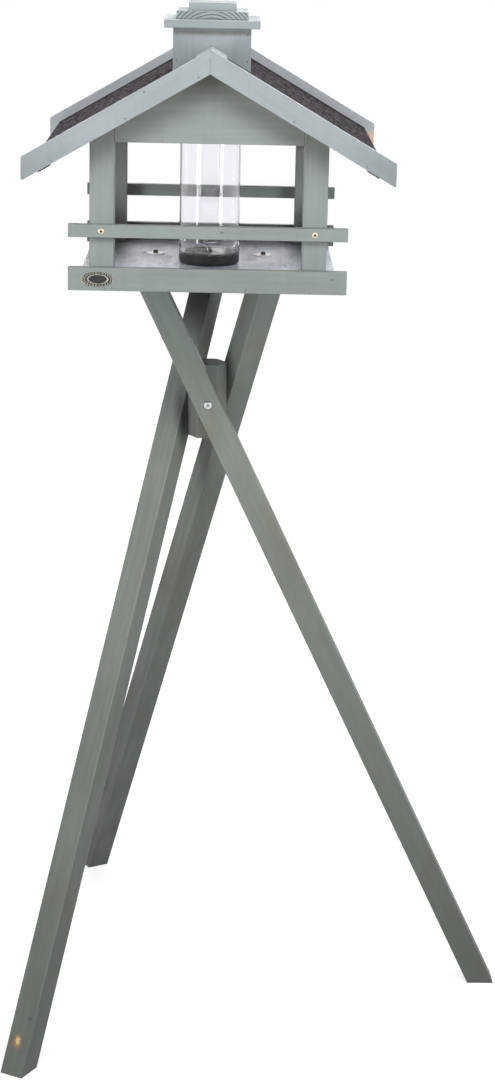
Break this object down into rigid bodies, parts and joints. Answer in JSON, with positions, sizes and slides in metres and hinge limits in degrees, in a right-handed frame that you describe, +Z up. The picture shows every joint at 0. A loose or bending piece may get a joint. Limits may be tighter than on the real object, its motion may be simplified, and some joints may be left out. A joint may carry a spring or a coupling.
{
  "type": "bird feeder",
  "caption": "Garden bird feeder: a gabled, felted roof over an open tray, a clear seed tube filled under a lift-off chimney cap, on a bolted tripod of splayed square legs.",
  "frame": {"origin": "middle of the ground plane under the whole feeder's bounding box, at the height of the feet", "axes": "+Z up, +Y from the front of the roof towards its rear along the ridge, +X to the right as seen from the front"},
  "size_m": [0.6818, 0.7532, 1.3746],
  "materials": {
    "stained_floor": "lavender-grey wood stain, water marked",
    "tray_paint": "grey-green garden paint, satin",
    "roof_paint": "pale blue-grey garden paint, satin",
    "bare_wood": "bare board",
    "roof_felt": "charcoal roofing felt with mineral granules",
    "clear_tube": "clear, gloss",
    "black_plastic": "satin black",
    "stand_paint": "grey-green garden paint, weathered",
    "zinc": "bright zinc plate",
    "dark_steel": "dull dark steel",
    "brass": "dull brass",
    "badge": "dark enamel, blank"
  },
  "bodies": {
    "feeder": {"floor_board": "stained_floor", "front_fascia": "tray_paint", "rear_fascia": "tray_paint", "front_rail": "tray_paint", "rear_rail": "tray_paint", "post_front_left": "tray_paint", "post_front_right": "tray_paint", "post_rear_left": "tray_paint", "post_rear_right": "tray_paint", "front_gable": "tray_paint", "rear_gable": "tray_paint", "eave_batten_left": "tray_paint", "eave_batten_right": "tray_paint", "barge_front_left": "roof_paint", "barge_front_right": "roof_paint", "barge_rear_left": "roof_paint", "barge_rear_right": "roof_paint", "ridge_front": "roof_paint", "ridge_rear": "roof_paint", "chimney_front": "roof_paint", "chimney_rear": "roof_paint", "chimney_left": "roof_paint", "chimney_right": "roof_paint", "roof_panel_left": "bare_wood", "roof_panel_right": "bare_wood", "roof_felt_left": "roof_felt", "roof_felt_right": "roof_felt", "seed_tube": "clear_tube", "base_plug": "black_plastic", "front_bearer": "stand_paint", "rear_bearer": "stand_paint", "tripod_hub": "stand_paint", "leg_right": "stand_paint", "leg_rear_left": "stand_paint", "leg_front_left": "stand_paint", "plug_screw": "zinc", "hub_bolts": "zinc", "tray_washers": "zinc", "tray_bolts": "dark_steel", "barge_nails_front": "dark_steel", "barge_nails_rear": "dark_steel", "chimney_nails": "dark_steel", "fascia_nails": "dark_steel", "rail_screws_front": "brass", "rail_screws_rear": "brass", "badge_plate": "badge"},
    "cap": {"cap_lower": "roof_paint", "cap_middle": "roof_paint", "cap_upper": "roof_paint", "cap_locator": "bare_wood"}
  },
  "joints": [
    {"name": "cap_lift", "type": "slide", "parent": "feeder", "child": "cap", "axis": [0, 0, 1], "range_m": [0, 0.08]}
  ]
}
